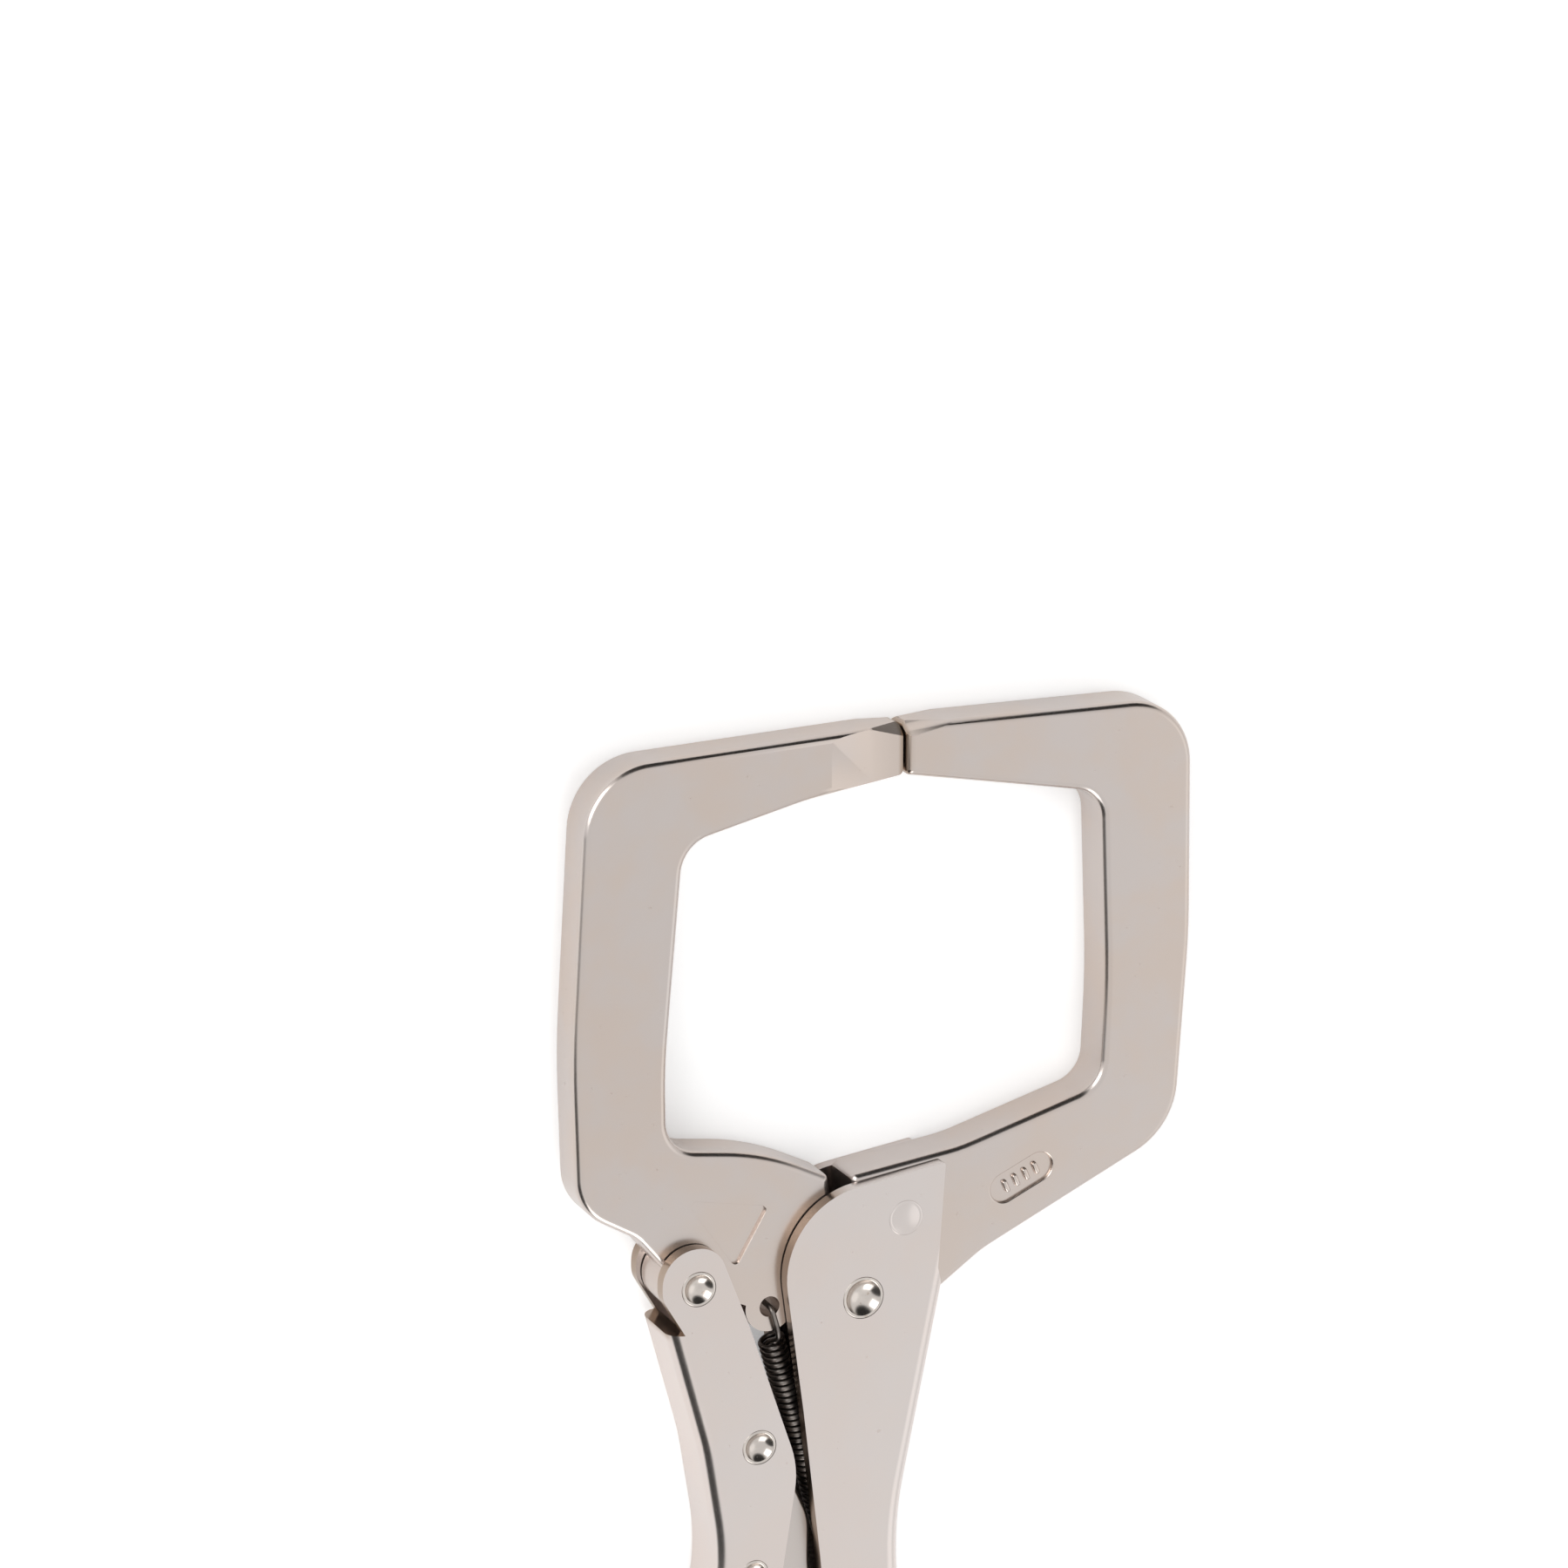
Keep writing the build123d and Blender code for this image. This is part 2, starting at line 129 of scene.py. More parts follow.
# %% Wire and Finish
class Wire:
    """One output of a node.  2 * a + b adds the Math nodes that work it out."""

    def __init__(self, finish, socket):
        self.finish = finish
        self.socket = socket

    def _math(self, operation, first, second):
        return self.finish.add("ShaderNodeMath", {"operation": operation}, {0: first, 1: second})

    def __add__(self, other):
        return self._math("ADD", self, other)

    def __radd__(self, other):
        return self._math("ADD", other, self)

    def __sub__(self, other):
        return self._math("SUBTRACT", self, other)

    def __rsub__(self, other):
        return self._math("SUBTRACT", other, self)

    def __mul__(self, other):
        return self._math("MULTIPLY", self, other)

    def __rmul__(self, other):
        return self._math("MULTIPLY", other, self)


class Finish:
    """A node tree under construction, for a material or for the world."""

    def __init__(self, tree):
        self.tree = tree
        self.tree.nodes.clear()

    def add(self, kind, settings=None, inputs=None, output=0):
        """Add a node: its settings first, then the values or wires of its inputs."""
        node = self.tree.nodes.new(kind)
        for name, value in (settings or {}).items():
            if name == "stops":
                self._stops(node.color_ramp.elements, value)
            else:
                setattr(node, name, value)
        for name, value in (inputs or {}).items():
            if isinstance(value, Wire):
                self.tree.links.new(value.socket, node.inputs[name])
            else:
                node.inputs[name].default_value = value
        return Wire(self, node.outputs[output]) if len(node.outputs) else node

    def _stops(self, elements, stops):
        while len(elements) > 1:
            elements.remove(elements[-1])
        elements[0].position, elements[0].color = stops[0]
        for position, colour in stops[1:]:
            elements.new(position).color = colour

    def place(self, stretch=(1.0, 1.0, 1.0), turn=(0.0, 0.0, 0.0)):
        """The point on the object, turned and stretched."""
        point = self.add("ShaderNodeTexCoord", output="Object")
        sockets = {"Vector": point, "Rotation": turn, "Scale": stretch}
        return self.add("ShaderNodeMapping", None, sockets)

    def parts(self, kind):
        """The x, y and z of the point on the object, or of its normal."""
        split = self.tree.nodes.new("ShaderNodeSeparateXYZ")
        self.tree.links.new(self.add("ShaderNodeTexCoord", output=kind).socket, split.inputs[0])
        return [Wire(self, socket) for socket in split.outputs]

    def size(self, value):
        """The value without its sign."""
        return self.add("ShaderNodeMath", {"operation": "ABSOLUTE"}, {0: value})

    def noise(self, scale, detail=3.0, rough=0.55, where=None):
        """Soft noise between 0 and 1; scale is how many blobs there are to a metre."""
        where = where or self.place()
        sockets = {"Vector": where, "Scale": scale, "Detail": detail, "Roughness": rough}
        return self.add("ShaderNodeTexNoise", None, sockets)

    def step(self, value, low, high):
        """0 below low, 1 above high, and smooth between them."""
        sockets = {"Value": value, "From Min": low, "From Max": high}
        return self.add("ShaderNodeMapRange", {"interpolation_type": "SMOOTHSTEP"}, sockets)

    def mix(self, share, first, second):
        """A blend of two colours."""
        node = self.tree.nodes.new("ShaderNodeMix")
        node.data_type = "RGBA"
        sockets = (node.inputs[0], node.inputs[6], node.inputs[7])
        for socket, value in zip(sockets, (share, first, second)):
            if isinstance(value, Wire):
                self.tree.links.new(value.socket, socket)
            else:
                socket.default_value = value
        return Wire(self, node.outputs[2])

    def bump(self, height, depth, normal=None):
        """Tilt the surface as if height, from 0 to 1, were depth metres deep."""
        inputs = {"Height": height, "Distance": depth, "Strength": 1.0}
        if normal:
            inputs["Normal"] = normal
        return self.add("ShaderNodeBump", None, inputs)


def material(name):
    """A new material and its tree."""
    made = bpy.data.materials.new(name)
    made.use_nodes = True
    return made, Finish(made.node_tree)


def metal(finish, colour, roughness, normal=None):
    """End a tree in one metal surface."""
    inputs = {"Base Color": colour, "Metallic": 1.0, "Roughness": roughness}
    if normal:
        inputs["Normal"] = normal
    shader = finish.add("ShaderNodeBsdfPrincipled", None, inputs)
    finish.add("ShaderNodeOutputMaterial", None, {"Surface": shader})


# %% [markdown]
# ## Nickel plate
# Every bare surface of the tool is nickel plated, which is a warm grey.  Over a forging the
# plate keeps a fine satin grain and soft clouds of tone.  Over rolled sheet it is brighter
# and carries the faint straight lines of the rolling.  Rubbed edges are smoother and
# brighter.  The finishes differ only in those numbers, so one function makes them all.

# %% Nickel colours
WARM = (0.620, 0.535, 0.480, 1.0)
COOL = (0.605, 0.548, 0.518, 1.0)
SHEET_WARM = (0.695, 0.620, 0.582, 1.0)
SHEET_COOL = (0.680, 0.625, 0.600, 1.0)
LINK_WARM = (0.500, 0.460, 0.430, 1.0)
LINK_COOL = (0.470, 0.450, 0.440, 1.0)
RUBBED = (0.760, 0.695, 0.650, 1.0)
PAINTED_SHEEN_TONE = (0.830, 0.755, 0.715, 1.0)
# brown of stains, specks and pits, also used for the painted shade on the handles' walls
STAIN_AND_SHADE_BROWN = (0.330, 0.230, 0.150, 1.0)
ROLLED_LINES = (1.0, 0.06, 1.0)  # stretched along the handles
GROUND_LINES = (0.5, 0.12, 1.0)
TUMBLED_LINES = (0.1, 1.0, 1.0)

# %% [markdown]
# The base colour starts from broad clouds between a warm and a cool tone.  Towards the
# handles it is painted paler: painted light, for the near soft box that lights that end more.
# Rare specks, the rubbed edges and, where asked for, a brown stain or a brown painted shade are laid over it.

# %% One function for every nickel finish
FORGING_GLOSS, SHEET_GLOSS, LINK_GLOSS = 0.16, 0.15, 0.24
# painted light: the band along +Y where the base colour is painted paler towards the handles
PAINTED_SHEEN_FROM, PAINTED_SHEEN_TO = 0.05, -0.06  # metres along +Y


def nickel(name, warm, cool, gloss, lines=(1.0, 1.0, 1.0), line_turn=0.0, stain_and_shade=None):
    """Plate with clouds of tone, a fine grain, rolled or ground lines, and rubbed edges."""
    made, finish = material(name)
    clouds = finish.noise(45.0, 4.0, 0.6)
    smears = finish.noise(160.0, 3.0, 0.5)
    grain = finish.noise(2600.0, 3.0, 0.6)
    streaks = finish.noise(700.0, 3.0, 0.6, finish.place(lines, (0.0, 0.0, line_turn)))
    specks = finish.step(finish.noise(800.0, 2.0), 0.73, 0.78)
    rim = finish.add("ShaderNodeAttribute", {"attribute_name": "rim"}, output="Fac")
    # painted light: the handles' end is painted paler, for the near soft box that lights it more
    painted_sheen = 1.0 - finish.step(finish.parts("Object")[1], PAINTED_SHEEN_TO, PAINTED_SHEEN_FROM)
    colour = finish.mix(finish.step(clouds, 0.38, 0.62), warm, cool)
    colour = finish.mix(painted_sheen * 0.35, colour, PAINTED_SHEEN_TONE)
    colour = finish.mix(specks * 0.2, colour, STAIN_AND_SHADE_BROWN)
    colour = finish.mix(rim * 0.5, colour, RUBBED)
    # a brown stain at the tips, or a brown painted shade on the handles' walls
    if stain_and_shade:
        colour = finish.mix(stain_and_shade(finish), colour, STAIN_AND_SHADE_BROWN)
    roughness = gloss + 0.08 * clouds + 0.05 * smears + 0.02 * streaks + 0.08 * specks - 0.04 * rim
    normal = finish.bump(grain * 0.3 + streaks * 0.2 + smears * 0.5, 0.000004)
    metal(finish, colour, roughness, normal)
    return made


# %% [markdown]
# Bare steel shows where the tips strike each other, and browns there.  On the handles, the
# upright walls that face the other handle and the ears' edges get a brown painted shade.

# %% Where the steel browns, and where the handles get painted shade
TIPS_MEET, TIPS_FROM = 0.0080, 0.080  # metres along +X and +Y


def tip_stain(finish):
    """Brown tint within about a millimetre of where the two tips meet."""
    x, y = finish.parts("Object")[:2]
    close = 1.0 - finish.step(finish.size(x - TIPS_MEET), 0.0003, 0.0011)
    return close * finish.step(y, TIPS_FROM, TIPS_FROM + 0.003) * 0.6


def upright_wall(finish):
    """1 on upright walls and 0 on the flat sides; the handles' painted shade goes only on these walls."""
    return 1.0 - finish.step(finish.size(finish.parts("Normal")[2]), 0.3, 0.7)


def left_wall_painted_shade(finish):
    """Painted shade in brown on the upright walls that face the other handle."""
    facing = finish.parts("Normal")[0] * -1.0
    return upright_wall(finish) * finish.step(facing, 0.1, 0.5) * 0.75


def ear_edge_painted_shade(finish):
    """Painted shade in brown on the upright walls of the two ears, above the fold."""
    return upright_wall(finish) * finish.step(finish.parts("Object")[1], -0.003, -0.001) * 0.75


# %% The plated metals
forged_nickel = nickel("forged_nickel", WARM, COOL, FORGING_GLOSS, GROUND_LINES, 0.3, tip_stain)
# the fixed handle's upright walls that face the moving handle get a brown painted shade
fixed_sheet_nickel = nickel(
    "fixed_sheet_nickel", SHEET_WARM, SHEET_COOL, SHEET_GLOSS, ROLLED_LINES, stain_and_shade=left_wall_painted_shade
)
# the moving handle's ears get a brown painted shade on their edges above the fold
moving_sheet_nickel = nickel(
    "moving_sheet_nickel", SHEET_WARM, SHEET_COOL, SHEET_GLOSS, ROLLED_LINES, stain_and_shade=ear_edge_painted_shade
)
lever_nickel = nickel("lever_nickel", SHEET_WARM, SHEET_COOL, FORGING_GLOSS, ROLLED_LINES)
link_nickel = nickel("link_nickel", LINK_WARM, LINK_COOL, LINK_GLOSS, TUMBLED_LINES, 0.4)

# %% [markdown]
# ## Finishing a CAD solid
# A cut sheet's edge is never knife sharp: tumbling rounds it, and the rounded edge is what
# catches the light.  The frame's own meshes stay as they are, so each plate is copied, its
# loose triangles are joined into whole faces, and its sharp edges are rounded.  The new
# faces are marked, so that the finish can rub them bright.

# %% Copy with rounded edges
SHARP = math.radians(34)
FLAT = math.radians(0.1)
WORN_EDGE = 0.35 * MM


def sharp_edges(solid):
    """Edges between two faces that meet at more than SHARP."""
    return [edge for edge in solid.edges if edge.is_manifold and edge.calc_face_angle() > SHARP]


def near(edge, circle):
    """True if the edge starts within circle = (x, y, reach), seen from above."""
    return (edge.verts[0].co.xy - Vector(circle[:2])).length < circle[2]


def round_off(solid, edges, radius, segments):
    """Replace the edges with narrow rounded faces."""
    return bmesh.ops.bevel(
        solid, geom=edges, offset=radius, offset_type="OFFSET", segments=segments,
        profile=0.5, affect="EDGES", clamp_overlap=True, loop_slide=True,
    )


def rounded(node, radius, finish, name=None, segments=2, spare=None, worn=None):
    """A copy of a CAD node whose sharp edges have this radius, in its place on its body.

    Edges within spare = (x, y, reach) stay sharp.  Outer edges within worn = (x, y, reach)
    are rounded WORN_EDGE wide first, as a forged recess is.
    """
    copy = bpy.data.objects.new(name or node + "_plate", bpy.data.meshes.new(node + "_plate"))
    bpy.context.scene.collection.objects.link(copy)
    solid = bmesh.new()
    solid.from_mesh(NODES[node].data)
    bmesh.ops.remove_doubles(solid, verts=solid.verts, dist=1e-6)
    bmesh.ops.dissolve_limit(solid, angle_limit=FLAT, verts=solid.verts, edges=solid.edges)
    rim = solid.faces.layers.float.new("rim")
    if worn:
        outer = [edge for edge in sharp_edges(solid) if edge.is_convex and near(edge, worn)]
        round_off(solid, outer, WORN_EDGE, 3)
    sharp = [edge for edge in sharp_edges(solid) if not (spare and near(edge, spare))]
    made = round_off(solid, sharp, radius, segments)
    for face in made["faces"]:
        face[rim] = 1.0
    solid.to_mesh(copy.data)
    solid.free()
    finish_piece(copy, finish)
    take_over(copy, node)
    print(copy.name, len(copy.data.polygons), "faces,", len(sharp), "edges rounded")
    return copy


def finish_piece(piece, finish):
    """Smooth shading that keeps wide faces flat, and one material."""
    piece.data.shade_smooth()
    weighted = piece.modifiers.new("flat_faces", "WEIGHTED_NORMAL")
    weighted.weight = 60
    weighted.keep_sharp = True
    piece.data.materials.clear()
    piece.data.materials.append(finish)


def take_over(piece, node):
    """The piece rides where the CAD node did and is shown in its stead."""
    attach(piece, BODY_OF[node])
    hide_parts(node)


# %% [markdown]
# The forgings have a radius of their own already, so only their last sharp edges are eased.
# The recesses' edges are wider, as a forging die leaves them.  The hole of the flush rivet
# stays sharp, because there the two metals were ground off together.

# %% The arms and the plates
EASED, TUMBLED = 0.10 * MM, 0.20 * MM
pill_recess = (28.6 * MM, 15.1 * MM, 7.0 * MM)
corner_recess = (-21.8 * MM, 14.7 * MM, 8.6 * MM)
rounded("fixed_jaw", EASED, forged_nickel, "fixed_arm", worn=pill_recess)
rounded("moving_jaw", EASED, forged_nickel, "moving_arm_forging", worn=corner_recess)
flush_rivet = (7.3 * MM, 12.3 * MM, 3.2 * MM)
rounded("fixed_handle", TUMBLED, fixed_sheet_nickel, "fixed_handle_sheet", spare=flush_rivet)
rounded("moving_handle", TUMBLED, moving_sheet_nickel, "moving_handle_sheet")
rounded("toggle_link", 0.30 * MM, link_nickel, "toggle_strut")
rounded("release_lever", 0.25 * MM, lever_nickel, "release_lever_sheet")
rounded("link_washers", EASED, link_nickel, "link_spacers")
rounded("screw_stop_washer", 0.25 * MM, link_nickel, "screw_stop_plate")
rounded("screw_retaining_clip", EASED, link_nickel, "screw_clip")

# %% [markdown]
# ## Skins over rings
# The springs, the screw and the rivets are round, and each is one skin drawn over a row of
# rings of points.  They could be built from Blender's own curves and screw modifiers, but a
# thread that runs out, a hook and a dished rivet all come out of one formula each when the
# rings are worked out with numpy.  Each end is closed with a fan to its middle.


# %% A skin over rings
def skin(name, rings, finish, node):
    """Join rings (rows, columns, 3) into a closed mesh with a fan over each end, facing out."""
    rows, columns = rings.shape[:2]
    points = np.concatenate([rings.reshape(-1, 3), rings[:1].mean(axis=1), rings[-1:].mean(axis=1)])
    here = np.arange(columns)
    ahead = (here + 1) % columns
    row = np.arange(rows - 1)[:, None] * columns
    quads = np.stack([row + here, row + ahead, row + columns + ahead, row + columns + here], axis=-1)
    last = (rows - 1) * columns
    near_fan = np.stack([np.full(columns, rows * columns), ahead, here], axis=-1)
    far_fan = np.stack([np.full(columns, rows * columns + 1), last + here, last + ahead], axis=-1)
    faces = quads.reshape(-1, 4).tolist() + near_fan.tolist() + far_fan.tolist()
    corners = points[quads.reshape(-1, 4)]
    across = np.cross(corners[:, 1] - corners[:, 0], corners[:, 2] - corners[:, 0])
    if (across * (corners[:, 0] - points.mean(axis=0))).sum() < 0:
        faces = [face[::-1] for face in faces]
    made = bpy.data.objects.new(name, bpy.data.meshes.new(name))
    made.data.from_pydata(points.tolist(), [], faces)
    bpy.context.scene.collection.objects.link(made)
    finish_piece(made, finish)
    take_over(made, node)
    print(name, len(faces), "faces")
    return made


def wire_rings(path, radius, sides=12):
    """Circles round a path, each square to it, carried along so that they don't twist."""
    along = np.gradient(path, axis=0)
    along /= np.linalg.norm(along, axis=1, keepdims=True)
    first = np.cross(along[0], (0.3, 0.5, 0.8))
    rings = []
    turn = np.linspace(0.0, 2 * math.pi, sides, endpoint=False)[:, None]
    for point, ahead in zip(path, along):
        first = first - ahead * first.dot(ahead)
        first /= np.linalg.norm(first)
        second = np.cross(ahead, first)
        rings.append(point + radius * (np.cos(turn) * first + np.sin(turn) * second))
    return np.array(rings)


def softened(path, times=3):
    """Cut each corner of a path a quarter of the way from it, several times over."""
    path = np.array(path, float)
    for _ in range(times):
        cut = np.empty((2 * len(path) - 2, 3))
        cut[0::2] = 0.75 * path[:-1] + 0.25 * path[1:]
        cut[1::2] = 0.25 * path[:-1] + 0.75 * path[1:]
        path = np.concatenate([path[:1], cut, path[-1:]])
    return path


# %% [markdown]
# ## Spring wire, turned steel and rivets
# Spring wire is drawn hard and left dark under a film of oil, with paler lines along it where
# the coils rub.  Rivets are driven with a domed punch, so each end is a dish, brighter in its
# middle, inside a flat ring.  The screw is turned and rolled, with oil and grit down in its
# thread.

# %% Dark and turned finishes
def spring_finish():
    """Dark oiled wire: soft brown and black patches, with fine drawn lines."""
    made, finish = material("oiled_spring_wire")
    patches = finish.step(finish.noise(220.0, 4.0), 0.4, 0.62)
    fine = finish.noise(1500.0, 3.0)
    colour = finish.mix(patches, (0.150, 0.135, 0.125, 1.0), (0.250, 0.225, 0.205, 1.0))
    colour = finish.mix(finish.step(fine, 0.6, 0.75) * 0.5, colour, (0.09, 0.07, 0.06, 1.0))
    metal(finish, colour, 0.22 + 0.16 * fine + 0.08 * patches, finish.bump(fine, 0.000004))
    return made


def turned_finish(name, bright, dull, gloss):
    """Turned or punched steel under thin plate, with soft patches and pits."""
    made, finish = material(name)
    patches = finish.noise(320.0, 4.0)
    pits = finish.step(finish.noise(1100.0, 2.0), 0.66, 0.74)
    colour = finish.mix(finish.step(patches, 0.35, 0.65), dull, bright)
    colour = finish.mix(pits * 0.35, colour, STAIN_AND_SHADE_BROWN)
    normal = finish.bump(patches * 0.6 - pits * 0.4, 0.000006)
    metal(finish, colour, gloss + 0.10 * patches + 0.10 * pits, normal)
    return made


spring_steel = spring_finish()
PUNCHED, PUNCHED_DULL = (0.70, 0.64, 0.59, 1.0), (0.60, 0.55, 0.51, 1.0)
ROLLED, ROLLED_DULL = (0.58, 0.54, 0.50, 1.0), (0.44, 0.40, 0.37, 1.0)
rivet_steel = turned_finish("driven_rivet_steel", PUNCHED, PUNCHED_DULL, 0.16)
screw_steel = turned_finish("rolled_screw_steel", ROLLED, ROLLED_DULL, 0.24)

# %% [markdown]
# ## Rivets
# A rivet is its outline spun about its own axis: a dish, a flat ring, a small chamfer, the
# shank, and the same again at the other end.  The flush rivet has no dish, but a very
# shallow groove where its punch was round.


# %% Rivets and the anchor pin
def ring_stack(outline, centre, columns=72):
    """Spin an outline of (radius, height), in millimetres, about an upright axis at centre."""
    turn = np.linspace(0.0, 2 * math.pi, columns, endpoint=False)
    radius, height = np.array(outline).T[:, :, None] * MM
    flat = np.zeros_like(turn)
    x, y = centre[0] + radius * np.cos(turn), centre[1] + radius * np.sin(turn)
    return np.stack([x, y, height + flat], axis=-1)


def driven_rivet(node, dish_radius=0.0, dish_depth=0.0, finish=None, chamfer=0.12):
    """A rivet in a CAD node's place, with dished ends if a dish is given.

    The dish is part of a ball through its rim and its bottom:
    ball = (radius squared + depth squared) / (2 x depth).
    """
    low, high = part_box(node)
    centre = (low + high) / 2
    radius, tall = (high.x - low.x) / 2 / MM, high.z / MM
    end = [(radius, chamfer), (radius - chamfer, 0.0)]
    if dish_depth:
        ball = (dish_radius**2 + dish_depth**2) / (2 * dish_depth)
        spread = math.asin(min(1.0, dish_radius / ball))
        for angle in np.linspace(spread, spread / 24, 24):
            end.append((ball * math.sin(angle), dish_depth - ball * (1 - math.cos(angle))))
    else:
        groove = [(0.88, 0.0), (0.86, 0.03), (0.80, 0.03), (0.78, 0.0), (0.05, 0.0)]
        end += [(share * radius, depth) for share, depth in groove]
    upper = [(r, tall - z) for r, z in end]
    rings = ring_stack(end[::-1] + upper, centre)
    return skin(node + "_driven", rings, finish or rivet_steel, node)


driven_rivet("main_pivot_rivet", 3.0, 1.5)
driven_rivet("handle_pivot_rivet", 2.4, 1.2)
driven_rivet("link_pivot_rivet", 2.4, 1.2)
driven_rivet("release_lever_rivet", 1.9, 0.95)
driven_rivet("jaw_rivet", finish=lever_nickel, chamfer=0.04)
driven_rivet("spring_anchor_pin")

# %% [markdown]
# ## Return spring
# A close-wound extension spring of 0.9 mm wire.  Its upper hook crosses the front of the
# moving arm's lug and drops into the hole; its lower hook goes round the anchor pin.  It
# gets shorter as the jaws open.

# %% Return spring
HOOK = np.array((-15.1, 0.1, MIDDLE))
ANCHOR = np.array((1.7, -60.0, MIDDLE))
SPRING_WIRE, COIL_RADIUS, PIN_BEND = 0.45, 1.84, 1.74
COIL_FROM, COIL_END_GAP, COIL_TURNS = 7.2, 3.6, 48
spring_length = np.linalg.norm(ANCHOR - HOOK)
spring_line = (ANCHOR - HOOK) / spring_length
spring_side = np.cross((0.0, 0.0, 1.0), spring_line)


def on_spring(along, side, height):
    """The point this far along the spring's line, to its side and above it."""
    return HOOK + along * spring_line + side * spring_side + np.array((0.0, 0.0, height))


coil_to = spring_length - COIL_END_GAP
share = np.linspace(0.0, 1.0, COIL_TURNS * 20 + 6)
phase = share * (COIL_TURNS + 0.25) * 2 * math.pi
coil_along = COIL_FROM + (coil_to - COIL_FROM) * share
coil = np.array([
    on_spring(along, COIL_RADIUS * math.sin(turn), COIL_RADIUS * math.cos(turn))
    for along, turn in zip(coil_along, phase)
])
upper_hook = softened([
    on_spring(0.0, 0.0, -0.6), on_spring(0.0, 0.0, 2.6), on_spring(0.1, 0.0, 4.70),
    on_spring(1.6, 0.0, 4.80), on_spring(5.2, 0.0, 4.80), on_spring(6.2, -0.3, 3.2),
    on_spring(6.7, -0.9, 1.9),
])
hook_turn = np.linspace(0.0, 1.25 * math.pi, 16)
round_pin = [
    on_spring(spring_length + PIN_BEND * math.sin(turn), PIN_BEND * math.cos(turn), 0.0)
    for turn in hook_turn
]
spring_path = np.concatenate([upper_hook[:-1], coil, round_pin]) * MM
spring_rings = wire_rings(spring_path, SPRING_WIRE * MM, 10)
return_spring = skin("wound_return_spring", spring_rings, spring_steel, "return_spring")
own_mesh(return_spring)
wire_length = np.linalg.norm(np.diff(spring_path, axis=0), axis=1).sum()
print("spring wire", round(float(wire_length), 2), "m long")

# %% [markdown]
# ## Release lever spring
# A torsion spring of 0.8 mm wire round the lever's rivet.  One leg lies along the lever and
# the other along the handle's web, and together they hold the lever against the strut.

# %% Release lever spring
lever_low, lever_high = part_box("release_lever_rivet")
lever_x, lever_y = (lever_low.x + lever_high.x) / 2 / MM, (lever_low.y + lever_high.y) / 2 / MM
LEVER_WIRE, LEVER_COIL, LEVER_TURNS, LEVER_HALF_HEIGHT = 0.4, 3.0, 3.5, 1.4
coil_bottom, coil_top = MIDDLE - LEVER_HALF_HEIGHT, MIDDLE + LEVER_HALF_HEIGHT
start_angle = math.pi
wind = np.linspace(0.0, LEVER_TURNS * 2 * math.pi, 90)
wound = np.stack([
    lever_x + LEVER_COIL * np.cos(start_angle + wind),
    lever_y + LEVER_COIL * np.sin(start_angle + wind),
    coil_bottom + (coil_top - coil_bottom) * wind / wind[-1],
], axis=-1)
# both legs point towards the ears: the first along the web, the second inside the lever
web_side, lever_side = lever_x - LEVER_COIL, lever_x + LEVER_COIL
web_leg = softened([
    (web_side, lever_y + 8.0, coil_bottom), (web_side, lever_y + 4.0, coil_bottom),
    (web_side, lever_y + 0.4, coil_bottom),
], 2)
lever_leg = softened([
    (lever_side, lever_y + 0.4, coil_top), (lever_side, lever_y + 3.0, coil_top),
    (lever_side - 0.6, lever_y + 6.0, coil_top),
], 2)
lever_path = np.concatenate([web_leg, wound[1:-1], lever_leg]) * MM
lever_rings = wire_rings(lever_path, LEVER_WIRE * MM)
skin("wound_lever_spring", lever_rings, spring_steel, "release_lever_spring")

# %% [markdown]
# ## Adjusting screw
# An M10 screw of 1.5 mm pitch with a knurled head.  Its skin is one row of rings from the
# centre of the tip to the bottom of the hexagon socket.  In the threaded part the radius
# follows a wave of (distance / pitch - angle / turn), which is a right-hand thread; at each
# end of the thread the wave fades out.  On the head the radius follows two crossed waves.

# %% The screw's sizes
THREAD_RADIUS, THREAD_DEPTH, PITCH, CHAMFER = 4.95, 0.85, 1.5, 0.8
TIP_RADIUS, GROOVE_RADIUS, HEAD_RADIUS = 3.28, 2.7, 6.28
TIP_AT, GROOVE_AT, GROOVE_TO, THREAD_AT, HEAD_AT, HEAD_TO = 7.0, 8.5, 9.3, 11.9, 91.0, 107.0
SOCKET_ACROSS, SOCKET_DEPTH, SOCKET_CONE = 5.0, 5.8, 1.0
KNURLS, KNURL_DEPTH, KNURL_LEAN = 36, 0.25, 1.65
COLUMNS, THREAD_ROWS, HEAD_ROWS = 144, 422, 120
LINK_END = np.array((0.8, -80.0, MIDDLE))  # distances along the screw start here
screw_line = np.array(JOINTS["screw_travel"]["axis"], float)
screw_line /= np.linalg.norm(screw_line)
screw_up = np.array((0.0, 0.0, 1.0))
screw_side = np.cross(screw_line, screw_up)
angle = np.linspace(0.0, 2 * math.pi, COLUMNS, endpoint=False)


# %% The screw's radius at one distance
def ramp(value, low, high):
    """0 at low, 1 at high, straight between."""
    return float(np.clip((value - low) / (high - low), 0.0, 1.0))


def thread_radius(distance):
    """The thread's flat crests and sloping sides at one distance, all round."""
    wave = (distance / PITCH - angle / (2 * math.pi)) % 1.0
    tooth = np.clip(2.6 * np.abs(wave - 0.5) - 0.18, 0.0, 1.0)
    run_in = ramp(distance, THREAD_AT + 0.6, THREAD_AT + 2.4)
    run_out = ramp(HEAD_AT - distance, 2.0, 4.0)
    chamfer = CHAMFER * (1.0 - ramp(distance, THREAD_AT, THREAD_AT + CHAMFER))
    return THREAD_RADIUS - chamfer - THREAD_DEPTH * tooth * min(run_in, run_out)


